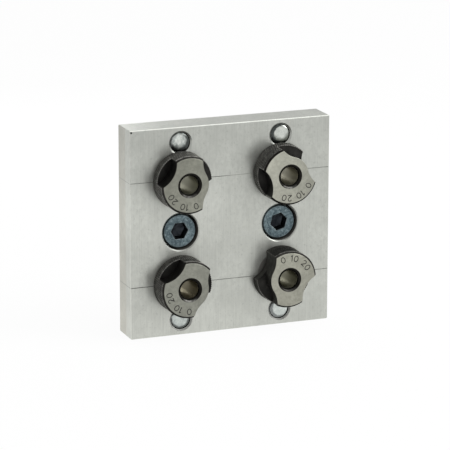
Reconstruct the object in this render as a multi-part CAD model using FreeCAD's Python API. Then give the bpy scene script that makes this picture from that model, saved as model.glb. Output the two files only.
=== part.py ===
import FreeCAD, Part
import math
import os

# A plate jig for drilling access holes in slotted profile. All sizes are in millimetres and degrees.
# The origin is the centre of the plate's back face, which lies on the profile. The drill bushings face -Y.
# Seen from that side +X is to the right and +Z is up. The jig stands upright on the plate's lower edge.

# Plate, and the places on it: the profile's two slots, the holes to be drilled, and the metal that is left
# beside the slots, between a liner and the pin next to it, and between a pin and the edge
plate_thickness = 12.7
plate_edge_break = 0.3
back_mouth_chamfer = 0.5
slot_spacing = 40.0
side_margin = 20.0
drill_spacing = 40.0
pin_wall = 1.0
edge_wall = 2.0

# Centre lines scribed through the drill holes, across the front and over both side edges
scribe_width = 0.25
scribe_depth = 0.12
side_scribe_depth = 0.05

# Drill bushings: a slip bushing turned to any angle, with a round head that is cut away for a lock screw
drill_bore_radius = 3.55
bore_entry_radius = 1.15
bore_exit_chamfer = 0.4
head_radius = 11.0
head_height = 10.0
head_face_chamfer = 0.85
head_seat_chamfer = 0.4
shank_radius = 6.0
shank_end_recess = 0.7
shank_end_chamfer = 0.8
shank_groove_depth = 0.25
shank_groove_width = 0.8

# Lock recess of a head. A round cutter comes as near the bore's axis as the floor radius. At the release
# angle it cuts right through, then sweeps on above the ledge, and it bites once more on the far side.
lock_cutter_radius = 9.6
lock_floor_radius = 7.43
lock_ledge_height = 4.0
lock_sweep_angle = 60.0
far_bite_angle = 180.0

# Liner bushings, pressed in the plate flush with its front
liner_radius = 9.0
liner_end_recess = 0.7
liner_chamfer = 0.5
slip_clearance = 0.01

# Locating pins, pressed in from the front
pin_radius = 4.0
pin_length = 18.0
pin_recess = 0.4
pin_crown_width = 1.3
pin_crown_height = 0.45
pin_tip_chamfer = 1.0
pin_mouth_chamfer = 0.6

# Cap screws, sunk in counterbores, and the metal that is left under their heads
screw_radius = 4.0
screw_length = 16.0
screw_head_radius = 6.5
screw_head_height = 8.0
screw_head_chamfer = 0.4
screw_tip_chamfer = 1.0
screw_neck_fillet = 0.35
socket_width = 6.0
socket_depth = 4.4
socket_chamfer = 0.3
socket_cone_depth = 1.2
seat_thickness = 3.5
head_clearance = 0.65
shank_clearance = 0.5
counterbore_chamfer = 0.4

# Slot nuts. The lip is the profile's own, clamped between the nut and the plate.
slot_lip_thickness = 4.3
nut_width = 16.0
nut_length = 22.0
nut_base_thickness = 5.5
nut_back_chamfer = 3.5
nut_neck_width = 7.8
nut_neck_height = 2.0
nut_thread_chamfer = 0.6
thread_clearance = 0.05

# How far a cutting tool stands past the metal that it cuts
overshoot = 1.0

# Which way each bushing's release angle and each screw's first socket corner points, seen from the front
release_angles = {
    "upper_left": -30.5,
    "upper_right": 14.5,
    "lower_left": -50.0,
    "lower_right": 152.0,
}
socket_corner_angles = {
    "left": 0.0,
    "right": 15.0,
}

# Where the columns and rows come, and the plate around them
slot_x = slot_spacing / 2
drill_z = drill_spacing / 2
pin_z = drill_z + liner_radius + pin_wall + pin_radius
plate_width = slot_spacing + 2 * side_margin
plate_height = 2 * (pin_z + pin_radius + edge_wall)
columns = {"left": -slot_x, "right": slot_x}
rows = {"lower": -1, "upper": 1}

ORIGIN = FreeCAD.Vector(0, 0, 0)
X_AXIS = FreeCAD.Vector(1, 0, 0)
Z_AXIS = FreeCAD.Vector(0, 0, 1)
QUARTER_TURN = 90
FULL_TURN = 4 * QUARTER_TURN
HEXAGON_SIDES = 6


def profile_point(radius, height):
    """A point of a turned piece's half section, which stands in the XZ plane."""
    return FreeCAD.Vector(radius, 0, height)


def straight(points):
    """Edges through profile points given as (radius, height)."""
    corners = [profile_point(*point) for point in points]
    return [Part.makeLine(start, end) for start, end in zip(corners, corners[1:])]


def rounded(start, end, centre):
    """The short arc from one profile point to another about a centre."""
    first = profile_point(*start)
    last = profile_point(*end)
    middle = profile_point(*centre)
    outwards = ((first + last) / 2 - middle).normalize()
    return [Part.Arc(first, middle + outwards * first.distanceToPoint(middle), last).toShape()]


def turned(edges):
    """The solid of a closed half section, turned about Z."""
    return Part.Face(Part.Wire(edges)).revolve(ORIGIN, Z_AXIS, FULL_TURN)


def turned_from(points):
    """The solid turned from a half section with straight sides only."""
    return turned(straight(points + points[:1]))


def on_front(shape, x, z, turn=0.0):
    """Place a piece made upright: its height 0 goes to the plate's front face, and up becomes -Y."""
    placed = shape.copy()
    placed.rotate(ORIGIN, Z_AXIS, turn)
    placed.rotate(ORIGIN, X_AXIS, QUARTER_TURN)
    placed.translate(FreeCAD.Vector(x, -plate_thickness, z))
    return placed


def direction(angle, distance, height):
    """The point at this angle and distance from the Z axis."""
    turn = math.radians(angle)
    return FreeCAD.Vector(distance * math.cos(turn), distance * math.sin(turn), height)


def through_hole(radius, front_chamfer, back_chamfer):
    """Cutter for a hole through the plate, with its two mouths chamfered."""
    back = -plate_thickness
    return turned_from([
        (0, overshoot),
        (radius + front_chamfer + overshoot, overshoot),
        (radius, -front_chamfer),
        (radius, back + back_chamfer),
        (radius + back_chamfer + overshoot, back - overshoot),
        (0, back - overshoot),
    ])


def counterbored_hole():
    """Cutter for a cap screw's counterbore and clearance hole."""
    back = -plate_thickness
    seat = back + seat_thickness
    bore = screw_head_radius + head_clearance
    hole = screw_radius + shank_clearance
    return turned_from([
        (0, overshoot),
        (bore + counterbore_chamfer + overshoot, overshoot),
        (bore, -counterbore_chamfer),
        (bore, seat),
        (hole, seat),
        (hole, back + back_mouth_chamfer),
        (hole + back_mouth_chamfer + overshoot, back - overshoot),
        (0, back - overshoot),
    ])


def scribed_groove(z, depth, face_y, face_length):
    """A shallow V groove along X, centred on x = 0 and cut in from a face whose normal is -Y."""
    spread = scribe_width / 2 * (depth + overshoot) / depth
    end = face_length / 2 + overshoot
    corners = [
        FreeCAD.Vector(-end, face_y + depth, z),
        FreeCAD.Vector(-end, face_y - overshoot, z + spread),
        FreeCAD.Vector(-end, face_y - overshoot, z - spread),
    ]
    triangle = Part.Face(Part.makePolygon(corners + corners[:1]))
    return triangle.extrude(X_AXIS * 2 * end)


def side_groove(z, turn):
    """The same groove, shallower, on the side edge that a quarter turn either way brings to the front."""
    groove = scribed_groove(z, side_scribe_depth, -plate_width / 2, plate_thickness)
    groove.rotate(ORIGIN, Z_AXIS, turn)
    groove.translate(FreeCAD.Vector(0, -plate_thickness / 2, 0))
    return groove


def jig_plate():
    corner = FreeCAD.Vector(-plate_width / 2, -plate_thickness, -plate_height / 2)
    block = Part.makeBox(plate_width, plate_thickness, plate_height, corner)
    block = block.makeChamfer(plate_edge_break, block.Edges)
    liner_hole = through_hole(liner_radius, 0, back_mouth_chamfer)
    pin_hole = through_hole(pin_radius, pin_mouth_chamfer, back_mouth_chamfer)
    screw_hole = counterbored_hole()
    cuts = []
    for x in columns.values():
        cuts.append(on_front(screw_hole, x, 0))
        for row in rows.values():
            cuts.append(on_front(liner_hole, x, row * drill_z))
            cuts.append(on_front(pin_hole, x, row * pin_z))
    for row in rows.values():
        cuts.append(scribed_groove(row * drill_z, scribe_depth, -plate_thickness, plate_width))
        cuts += [side_groove(row * drill_z, turn) for turn in (-QUARTER_TURN, QUARTER_TURN)]
    return block.cut(cuts)


def lock_cutter(angle, floor):
    """The round cutter at one angle, from the floor height up through the head's face."""
    centre = direction(angle, lock_cutter_radius + lock_floor_radius, floor)
    return Part.makeCylinder(lock_cutter_radius, head_height - floor + overshoot, centre)


def lock_sweep():
    """What the cutter clears while the head turns from the release angle to the locked one."""
    height = head_height - lock_ledge_height + overshoot
    floor = FreeCAD.Vector(0, 0, lock_ledge_height)
    sector = Part.makeCylinder(head_radius + overshoot, height, floor, Z_AXIS, lock_sweep_angle)
    return sector.cut(Part.makeCylinder(lock_floor_radius, height, floor))


def bushing_blank():
    """The turned bushing before its head is cut: bore, face, head, groove under the head and shank."""
    mouth = drill_bore_radius + bore_entry_radius
    tip = -plate_thickness + shank_end_recess
    entry_start = (drill_bore_radius, head_height - bore_entry_radius)
    entry_end = (mouth, head_height)
    outline = straight([
        entry_end,
        (head_radius - head_face_chamfer, head_height),
        (head_radius, head_height - head_face_chamfer),
        (head_radius, head_seat_chamfer),
        (head_radius - head_seat_chamfer, 0),
        (shank_radius - shank_groove_depth, 0),
        (shank_radius - shank_groove_depth, -shank_groove_width),
        (shank_radius, -shank_groove_width - shank_groove_depth),
        (shank_radius, tip + shank_end_chamfer),
        (shank_radius - shank_end_chamfer, tip),
        (drill_bore_radius + bore_exit_chamfer, tip),
        (drill_bore_radius, tip + bore_exit_chamfer),
        entry_start,
    ])
    return turned(outline + rounded(entry_start, entry_end, (mouth, entry_start[1])))


def drill_bushing():
    """A finished bushing whose release angle is 0."""
    return bushing_blank().cut([
        lock_cutter(0, -overshoot),
        lock_sweep(),
        lock_cutter(lock_sweep_angle, lock_ledge_height),
        lock_cutter(far_bite_angle, lock_ledge_height),
    ])


def liner_bushing():
    """A headless bushing around the slip bushing's shank."""
    bore = shank_radius + slip_clearance
    tip = -plate_thickness + liner_end_recess
    return turned_from([
        (bore + liner_chamfer, 0),
        (liner_radius, 0),
        (liner_radius, tip + liner_chamfer),
        (liner_radius - liner_chamfer, tip),
        (bore + liner_chamfer, tip),
        (bore, tip + liner_chamfer),
        (bore, -liner_chamfer),
    ])


def locating_pin():
    """A dowel pin, with a low crown where it was driven and a chamfered tip for the slot."""
    top = -pin_recess
    shoulder = top - pin_crown_height
    tip = top - pin_length
    flat = pin_radius - pin_crown_width
    crown_radius = (pin_crown_width ** 2 + pin_crown_height ** 2) / (2 * pin_crown_height)
    body = straight([
        (pin_radius, shoulder),
        (pin_radius, tip + pin_tip_chamfer),
        (pin_radius - pin_tip_chamfer, tip),
        (0, tip),
        (0, top),
        (flat, top),
    ])
    return turned(body + rounded((flat, top), (pin_radius, shoulder), (flat, top - crown_radius)))


def hex_socket(top, first_corner):
    """Cutter for a screw's hexagon socket, whose mouth is countersunk between its corners, with a drill point."""
    step = FULL_TURN / HEXAGON_SIDES
    corner_radius = socket_width / 2 / math.cos(math.radians(step / 2))
    floor = top - socket_depth
    corners = [direction(first_corner + step * k, corner_radius, floor) for k in range(HEXAGON_SIDES)]
    hexagon = Part.Face(Part.makePolygon(corners + corners[:1]))
    prism = hexagon.extrude(Z_AXIS * (socket_depth + overshoot))
    mouth_radius = socket_width / 2 + socket_chamfer
    mouth = turned_from([
        (0, top + overshoot),
        (mouth_radius + overshoot, top + overshoot),
        (0, top - mouth_radius),
    ])
    point = turned_from([
        (0, floor),
        (socket_width / 2, floor),
        (0, floor - socket_cone_depth),
    ])
    return prism.fuse([mouth, point])


def clamp_screw(first_corner):
    """A cap screw seated on the floor of its counterbore."""
    seat = -plate_thickness + seat_thickness
    top = seat + screw_head_height
    tip = seat - screw_length
    neck_start = (screw_radius, seat - screw_neck_fillet)
    neck_end = (screw_radius + screw_neck_fillet, seat)
    outline = straight([
        neck_end,
        (screw_head_radius, seat),
        (screw_head_radius, top - screw_head_chamfer),
        (screw_head_radius - screw_head_chamfer, top),
        (0, top),
        (0, tip),
        (screw_radius - screw_tip_chamfer, tip),
        (screw_radius, tip + screw_tip_chamfer),
        neck_start,
    ])
    blank = turned(outline + rounded(neck_start, neck_end, (neck_end[0], neck_start[1])))
    return blank.cut(hex_socket(top, first_corner))


def slot_nut():
    """A nut for the slot, in place on the screw at x = 0, with its long back edges chamfered."""
    shoulder = slot_lip_thickness
    front = shoulder - nut_neck_height
    back = shoulder + nut_base_thickness
    half_neck = nut_neck_width / 2
    half_base = nut_width / 2
    section = [
        (-half_neck, front),
        (half_neck, front),
        (half_neck, shoulder),
        (half_base, shoulder),
        (half_base, back - nut_back_chamfer),
        (half_base - nut_back_chamfer, back),
        (-half_base + nut_back_chamfer, back),
        (-half_base, back - nut_back_chamfer),
        (-half_base, shoulder),
        (-half_neck, shoulder),
    ]
    corners = [FreeCAD.Vector(x, y, -nut_length / 2) for x, y in section]
    body = Part.Face(Part.makePolygon(corners + corners[:1])).extrude(Z_AXIS * nut_length)
    bore = screw_radius + thread_clearance
    mouth = bore + nut_thread_chamfer
    thread_hole = turned_from([
        (0, front - overshoot),
        (mouth + overshoot, front - overshoot),
        (bore, front + nut_thread_chamfer),
        (bore, back - nut_thread_chamfer),
        (mouth + overshoot, back + overshoot),
        (0, back + overshoot),
    ])
    thread_hole.rotate(ORIGIN, X_AXIS, -QUARTER_TURN)
    return body.cut(thread_hole)


def save(shape, node):
    shape.exportStep("parts/" + node + ".step")


def main():
    os.makedirs("parts", exist_ok=True)
    save(jig_plate(), "jig_plate")
    bushing = drill_bushing()
    liner = liner_bushing()
    pin = locating_pin()
    nut = slot_nut()
    for column, x in columns.items():
        save(on_front(clamp_screw(socket_corner_angles[column]), x, 0), "clamp_screw_" + column)
        save(nut.translated(X_AXIS * x), "slot_nut_" + column)
        for row, side in rows.items():
            place = row + "_" + column
            save(on_front(bushing, x, side * drill_z, release_angles[place]), "drill_bushing_" + place)
            save(on_front(liner, x, side * drill_z), "liner_bushing_" + place)
            save(on_front(pin, x, side * pin_z), "locating_pin_" + place)


main()
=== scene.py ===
import math
import random

import bmesh
import bpy
import numpy as np
from mathutils import Matrix, Vector
from mathutils.geometry import delaunay_2d_cdt


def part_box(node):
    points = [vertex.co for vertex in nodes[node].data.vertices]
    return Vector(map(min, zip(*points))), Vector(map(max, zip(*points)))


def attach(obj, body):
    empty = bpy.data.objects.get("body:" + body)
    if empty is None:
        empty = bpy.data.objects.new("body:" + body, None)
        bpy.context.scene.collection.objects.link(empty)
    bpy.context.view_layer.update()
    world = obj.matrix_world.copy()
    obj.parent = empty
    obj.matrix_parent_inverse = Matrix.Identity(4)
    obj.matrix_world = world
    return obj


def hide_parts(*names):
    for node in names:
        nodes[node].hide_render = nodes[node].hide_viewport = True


# A drill jig on a white studio floor. Blender's units are metres. Most shapes here are worked out in
# millimetres, and MM turns them into metres. Angles are counted anticlockwise from the right, as seen from
# the bushing side.
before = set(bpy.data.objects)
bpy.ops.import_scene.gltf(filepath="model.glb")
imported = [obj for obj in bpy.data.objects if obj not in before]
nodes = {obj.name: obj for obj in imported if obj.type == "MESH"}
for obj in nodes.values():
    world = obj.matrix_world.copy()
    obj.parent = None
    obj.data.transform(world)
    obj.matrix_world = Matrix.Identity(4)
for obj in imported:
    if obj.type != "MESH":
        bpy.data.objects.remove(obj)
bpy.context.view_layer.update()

MM = 0.001
FULL_TURN = 2 * math.pi
FRONT_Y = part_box("jig_plate")[0].y
PLATE_LOW, PLATE_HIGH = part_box("jig_plate")

# Distances in metres under which points are merged and slivers are dissolved, and angles in degrees over
# which corners stay crisp
SEAM_GAP = 2e-7
SLIVER = 1e-7
SOURCE_SEAM_GAP = 1e-6
CRISP_ANGLE = 30
PLATE_CRISP_ANGLE = 15

# Camera, fitted to the plate's corners and the bores in the photograph
CAMERA_PLACE_MM = (-352.494, -910.733, 251.180)
CAMERA_HEADING = math.radians(21.3027)
CAMERA_ELEVATION = math.radians(-14.5492)
CAMERA_ROLL = math.radians(0.0910)
CAMERA_LENS_MM = 212.213

# Plate, in metres: half its size, how far out the look of its sides starts and is full, and the depths
# between which the left side's second milling pass begins
HALF_PLATE = 0.04
SIDE_START = 0.0397
SIDE_FULL = 0.03985
SECOND_PASS = (-0.0080, -0.0073)

# Plate, in millimetres: the reach of a scribed line and of a pin hole from their middles, and of all the
# holes from the plate's middle. The nick's reach and place are in metres.
SCRIBED_HALF_WIDTH = 0.13
PIN_HOLE_REACH = 5.0
HOLES_REACH = 39.0
NICK_RADIUS = 0.40 * MM
NICK_PLACE = Vector((PLATE_LOW.x + 0.64 * MM, FRONT_Y - 0.05 * MM, PLATE_HIGH.z - 0.74 * MM))

# Soft bands of painted light and shade across the left half of the plate's front: middle, where full, where
# they end, and factor
PAINTED_PLATE_BANDS = ((-0.017, 0.010, 0.016, 0.91), (0.012, 0.004, 0.012, 1.08))

# Pins: the depths in metres between which the front end's look ends, the roughness behind it, and where the
# dark ring around the rim, stain and painted shade, starts and is full
PIN_FRONT = (-0.0122, -0.0112)
PIN_SIDE_ROUGHNESS = 0.36
PIN_RIM_STAIN_AND_SHADE = (3.45, 3.7)

# Drill bushings. The release angles are in degrees.
HEAD_RADIUS = 11.0
HEAD_HEIGHT = 10.0
FACE_RADIUS = 10.15
FACE_CHAMFER_HEIGHT = 9.15
SEAT_CHAMFER = 0.4
SHANK_RADIUS = 6.0
NECK_RADIUS = 5.75
NECK_LENGTH = 0.8
SHANK_TIP = -12.0
SHANK_TIP_CHAMFER = 0.8
BORE_RADIUS = 3.55
BORE_ENTRY = 1.15
BORE_ENTRY_RINGS = 9
BORE_EXIT_CHAMFER = 0.4
CUTTER_RADIUS = 9.6
CUTTER_REACH = 17.03
LOCK_FLOOR_RADIUS = 7.43
LEDGE_HEIGHT = 4.0
LOCK_SWEEP = math.radians(60)
CUT_EDGE_BREAK = 0.12
RELEASE_ANGLES = {
    "upper_left": -30.5,
    "upper_right": 14.5,
    "lower_left": -50.0,
    "lower_right": 152.0,
}
KNURL_STARTS = 86
KNURL_COLUMNS = 6 * KNURL_STARTS
KNURL_AXIAL_PERIOD = 1.39
KNURL_ROW = 0.174
KNURL_DEPTH = 0.26
KNURL_FLAT = 0.18
KNURL_FADE = 0.2
KNURL_RUBBED = 0.45
EDGE_WEAR_WIDTH = 0.12
CUT_WEAR_WIDTH = 0.6
MOUTH_HIGHLIGHT_START = 0.75
MOUTH_HIGHLIGHT_HEIGHT = 0.75
LEDGE_WEAR = 0.4
LEDGE_WEAR_WIDTH = 0.12
LEDGE_TOP_SHARE = 0.7
ANGLE_SLACK = 1e-9

# Plain numbers cut in the bushings' faces, read clockwise with their tops outward. Each digit has its angle
# in degrees from the release angle.
ENGRAVING_DEPTH = 0.14
ENGRAVING_FOOT = 7.1
DIGIT_HEIGHT = 2.45
DIGIT_STROKE = 0.31
OUTLINE_GAP = 1e-7
ENGRAVED_DIGITS = (("0", -43), ("1", -68), ("0", -80), ("2", -106), ("0", -122))

# Cap screws and slot nuts. The socket's corners are in degrees.
SCREW_RADIUS = 4.0
SCREW_SEAT = -9.2
SCREW_TIP = -25.2
SCREW_TOP = -1.2
SCREW_TIP_CHAMFER = 1.0
SCREW_HEAD_RADIUS = 6.5
SCREW_HEAD_CHAMFER = 0.4
SCREW_HEAD_FOOT = 0.25
SCREW_CORE_RADIUS = 3.5
SCREW_EDGE_IN = 0.3
SCREW_EDGE_UP = 0.28
SCREW_RIM_IN = 0.05
SCREW_RIM_WEAR_WIDTH = 0.2
SCREW_EDGE_WEAR = 0.6
SCREW_NECK = 0.35
SCREW_COLUMNS = 432
SCREW_KNURL_TEETH = 72
SCREW_KNURL_DEPTH = 0.1
SCREW_KNURL_ABOVE_SEAT = (0.6, 0.75)
SCREW_KNURL_BELOW_TOP = (0.35, 0.2)
THREAD_COLUMNS = 96
THREAD_PITCH = 1.25
THREAD_DEPTH = 0.677
THREAD_CREST = 0.125
THREAD_ROOT = 0.25
THREAD_RUN_OUT = 0.8
THREAD_SUNK = 0.01
THREAD_ROW = THREAD_PITCH / 12
THREAD_CLEARANCE = 0.04
NUT_THREAD_DEPTH = 0.6
NUT_THREAD_CHAMFER = 0.6
NUT_THREAD_INSET = 0.05
NUT_SLEEVE = 0.2
NUT_SLEEVE_SKIN = 0.02
SOCKET_HALF_WIDTH = 3.0
SOCKET_EDGE_BREAK = 0.2
SOCKET_WEAR_WIDTH = 0.15
SOCKET_DEPTH = 4.4
SOCKET_POINT = 1.2
SOCKET_CORNERS = {"left": 0.0, "right": 15.0}

# Materials of the bushings, of the screws and of the plate, in the order in which their pieces have them
FACE, OXIDE, ENGRAVING, BORE, GROUND_STEEL, OXIDE_AND_SHADE = range(6)
SCREW_OXIDE, SOCKET = range(2)
MILLED, SCRIBED, COUNTERBORE, PIN_HOLE, NICK, PIN_MOUTH = range(6)

# Studio: half the floor's size in metres, how white the floor is to sight, and the light all around
FLOOR_HALF = 3.0
FLOOR_WHITE = 0.93
WORLD_LIGHT = 0.7


def scaled(tone, share):
    return tuple(share * c for c in tone)


def polar(angles, radii, heights, wear=0.0):
    """Points of a ring around an axis that stands up from the plate's front, in millimetres, with wear."""
    radii, heights, wear = (np.broadcast_to(v, angles.shape) for v in (radii, heights, wear))
    return np.stack([radii * np.cos(angles), radii * np.sin(angles), heights, wear], axis=1)


def in_object_frame(points, place):
    """Points measured from a place on the plate's front, brought to metres in the object's own frame."""
    points = np.asarray(points, float)
    return np.stack([
        place[0] + points[:, 0] * MM,
        FRONT_Y - points[:, 2] * MM,
        place[1] + points[:, 1] * MM,
    ], axis=1)


def axis_of(node):
    """Where a round node's axis stands on the plate's front, in metres."""
    low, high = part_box(node)
    return (low.x + high.x) / 2, (low.z + high.z) / 2


class Surface:
    """The points of one piece, in millimetres and with their wear, and its faces with their materials."""

    def __init__(self):
        self.points = []
        self.faces = []
        self.materials = []

    def add(self, points, faces, materials):
        """Points, faces that count from the first of them, and a material for each face."""
        start = len(self.points)
        self.points.extend(map(tuple, points))
        self.faces.extend(tuple(start + i for i in face) for face in faces)
        self.materials.extend(materials)

    def loft(self, rings, materials):
        """Closed rings of equal length, joined one to the next. Each gap has one material, or one for each
        column."""
        count = len(rings[0])
        faces = []
        face_materials = []
        for k, material in enumerate(materials):
            a = k * count
            b = a + count
            for i in range(count):
                j = (i + 1) % count
                faces.append((a + i, a + j, b + j, b + i))
            face_materials += np.broadcast_to(material, count).tolist()
        self.add(np.concatenate(rings), faces, face_materials)

    def cap(self, ring, point, material):
        """A fan from a closed ring to one point."""
        count = len(ring)
        faces = [(i, (i + 1) % count, count) for i in range(count)]
        self.add(list(ring) + [point], faces, [material] * count)


def shaded(mesh, crisp_angle=CRISP_ANGLE):
    """Merges the seams, turns every face outward, and keeps corners sharper than the angle crisp."""
    bm = bmesh.new()
    bm.from_mesh(mesh)
    bmesh.ops.remove_doubles(bm, verts=bm.verts, dist=SEAM_GAP)
    bmesh.ops.dissolve_degenerate(bm, edges=bm.edges, dist=SLIVER)
    bmesh.ops.recalc_face_normals(bm, faces=bm.faces)
    bm.to_mesh(mesh)
    bm.free()
    mesh.shade_smooth()
    mesh.set_sharp_from_angle(angle=math.radians(crisp_angle))


def add_object(name, data):
    made = bpy.data.objects.new(name, data)
    bpy.context.scene.collection.objects.link(made)
    return made


def make_piece(name, surface, place, materials, body, replaced=()):
    """A piece from a surface at its place on the plate's front, which rides on a body."""
    mesh = bpy.data.meshes.new(name)
    mesh.from_pydata(in_object_frame(surface.points, place).tolist(), [], surface.faces)
    for material in materials:
        mesh.materials.append(material)
    mesh.polygons.foreach_set("material_index", surface.materials)
    wear = mesh.attributes.new("wear", "FLOAT", "POINT")
    wear.data.foreach_set("value", [point[3] for point in surface.points])
    shaded(mesh)
    piece = add_object(name, mesh)
    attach(piece, body)
    if replaced:
        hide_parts(*replaced)


def coat(node, material):
    """Gives a CAD node that stays in sight its material."""
    nodes[node].data.materials.clear()
    nodes[node].data.materials.append(material)


# Shader nodes
class Shader:
    """A material's node tree, with short ways to add what the materials here have in common."""

    def __init__(self, name):
        self.material = bpy.data.materials.new(name)
        self.material.use_nodes = True
        self.tree = self.material.node_tree
        self.surface = self.tree.nodes["Principled BSDF"]
        self.place = self.tree.nodes.new("ShaderNodeTexCoord").outputs["Object"]

    def node(self, kind, **settings):
        made = self.tree.nodes.new(kind)
        for key, value in settings.items():
            setattr(made, key, value)
        return made

    def join(self, output, socket):
        self.tree.links.new(output, socket)

    def stretched(self, stretch, centre):
        """Object coordinates about a centre in metres, scaled by one factor, or by one along each axis."""
        stretch = np.broadcast_to(stretch, 3).tolist()
        mapping = self.node("ShaderNodeMapping", vector_type="POINT")
        mapping.inputs["Scale"].default_value = stretch
        mapping.inputs["Location"].default_value = [-s * c for s, c in zip(stretch, centre)]
        self.join(self.place, mapping.inputs["Vector"])
        return mapping.outputs["Vector"]

    def noise(self, stretch, detail=3.0, roughness=0.55, centre=(0, 0, 0)):
        made = self.node("ShaderNodeTexNoise")
        made.inputs["Scale"].default_value = 1.0
        made.inputs["Detail"].default_value = detail
        made.inputs["Roughness"].default_value = roughness
        self.join(self.stretched(stretch, centre), made.inputs["Vector"])
        return made.outputs["Fac"]

    def spread(self, value, low, high, to_low=0.0, to_high=1.0):
        """A value between low and high, brought to another range and held inside it."""
        made = self.node("ShaderNodeMapRange", clamp=True)
        for key, number in (("From Min", low), ("From Max", high), ("To Min", to_low), ("To Max", to_high)):
            made.inputs[key].default_value = number
        self.join(value, made.inputs["Value"])
        return made.outputs["Result"]

    def math(self, operation, a, b=None):
        made = self.node("ShaderNodeMath", operation=operation)
        for socket, value in zip(made.inputs, (a, b)):
            if value is None:
                continue
            if isinstance(value, (int, float)):
                socket.default_value = value
            else:
                self.join(value, socket)
        return made.outputs["Value"]

    def mix(self, factor, a, b, blend="MIX"):
        """Colours or colour sockets, mixed by a factor socket or number."""
        made = self.node("ShaderNodeMix", data_type="RGBA", blend_type=blend)
        for socket, value in ((made.inputs[0], factor), (made.inputs[6], a), (made.inputs[7], b)):
            if isinstance(value, (int, float)):
                socket.default_value = value
            elif isinstance(value, (tuple, list)):
                socket.default_value = (*value, 1.0)
            else:
                self.join(value, socket)
        return made.outputs[2]

    def tinted(self, share, colour, factors):
        """A colour, multiplied by three factors as far as a share says."""
        return self.mix(share, colour, self.mix(1.0, colour, factors, "MULTIPLY"))

    def rubbed(self, start, least):
        """How far wear has rubbed the oxide through: none up to a start, and patchy down to a least share."""
        wear = self.node("ShaderNodeAttribute", attribute_name="wear").outputs["Fac"]
        patches = self.spread(self.noise(650, detail=3), 0.40, 0.60, least, 1.0)
        return self.math("MULTIPLY", self.spread(wear, start, 1.0), patches)

    def bump(self, height, strength, distance):
        made = self.node("ShaderNodeBump")
        made.inputs["Strength"].default_value = strength
        made.inputs["Distance"].default_value = distance
        self.join(height, made.inputs["Height"])
        self.join(made.outputs["Normal"], self.surface.inputs["Normal"])

    def colour(self, value):
        self.join(value, self.surface.inputs["Base Color"])

    def roughness(self, value):
        self.join(value, self.surface.inputs["Roughness"])

    def metallic(self, value):
        self.surface.inputs["Metallic"].default_value = value

    def specular_tint(self, *tone):
        self.surface.inputs["Specular Tint"].default_value = (*tone, 1)

    def position(self):
        """Object coordinates in metres, as sockets X, Y and Z."""
        parts = self.node("ShaderNodeSeparateXYZ")
        self.join(self.place, parts.inputs["Vector"])
        return parts.outputs


def at_sides(shader, coordinate):
    """One on the plate's two sides along a coordinate, and zero between them."""
    return shader.spread(shader.math("ABSOLUTE", coordinate), SIDE_START, SIDE_FULL)


def plate_material():
    """Satin aluminium: a fine upright grain, soft clouding, and small marks from handling, with painted light
    and shade over its front and a lighter painted top and sides.
    """
    shader = Shader("plate_milled")
    tone = (0.515, 0.528, 0.487)
    cloud = shader.spread(shader.noise((110, 110, 75), detail=5, roughness=0.6), 0.32, 0.68)
    colour = shader.mix(cloud, scaled(tone, 0.885), scaled(tone, 1.08))
    mottle = shader.spread(shader.noise((620, 620, 420), detail=4, roughness=0.65), 0.38, 0.62, 0.0, 0.7)
    colour = shader.mix(mottle, colour, scaled(tone, 0.84))
    grain = shader.noise((2600, 2600, 34), detail=3, roughness=0.7)
    colour = shader.mix(shader.spread(grain, 0.38, 0.64, 0.0, 0.45), colour, scaled(tone, 1.13))
    specks = shader.spread(shader.noise((1700, 1700, 1300), detail=3), 0.60, 0.72, 0.0, 0.5)
    colour = shader.mix(specks, colour, (0.33, 0.343, 0.315))

    place = shader.position()
    # Painted shade: the front darkens toward the top.
    height = shader.spread(place["Z"], -HALF_PLATE, HALF_PLATE)
    colour = shader.tinted(height, colour, (0.90, 0.90, 0.905))
    # Painted reflection: the front brightens toward the bottom and the left, as if reflecting the white
    # floor.
    lowness = shader.spread(place["Z"], -0.012, 0.036, 1.0, 0.0)
    leftness = shader.spread(place["X"], -0.034, 0.036, 1.0, 0.15)
    colour = shader.tinted(shader.math("MULTIPLY", lowness, leftness), colour, (1.21, 1.205, 1.205))
    # Painted light and shade: soft bands across the left half of the front.
    left_half = shader.spread(place["X"], -0.004, 0.008, 1.0, 0.0)
    for middle, full, none, factor in PAINTED_PLATE_BANDS:
        away = shader.math("ABSOLUTE", shader.math("SUBTRACT", place["Z"], middle))
        band = shader.math("MULTIPLY", left_half, shader.spread(away, full, none, 1.0, 0.0))
        colour = shader.tinted(band, colour, (factor, factor, factor))
    # Painted light: the sides are lighter than the front, and the top and bottom lighter still.
    side_colour = shader.tinted(at_sides(shader, place["X"]), colour, (1.18, 1.18, 1.18))
    end_colour = shader.mix(1.0, colour, (1.27, 1.27, 1.27), "MULTIPLY")
    colour = shader.mix(at_sides(shader, place["Z"]), side_colour, end_colour)
    on_left = shader.spread(place["X"], -SIDE_FULL, -SIDE_START, 1.0, 0.0)
    second_pass = shader.math("MULTIPLY", on_left, shader.spread(place["Y"], *SECOND_PASS))
    colour = shader.tinted(second_pass, colour, (0.93, 0.905, 0.88))
    shader.colour(colour)
    shader.metallic(0.85)
    shader.specular_tint(0.72, 0.72, 0.72)
    patches = shader.noise((260, 260, 120), detail=3)
    shader.roughness(shader.spread(patches, 0.3, 0.7, 0.31, 0.40))
    shader.bump(grain, 0.12, 0.00004)
    return shader.material


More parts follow.
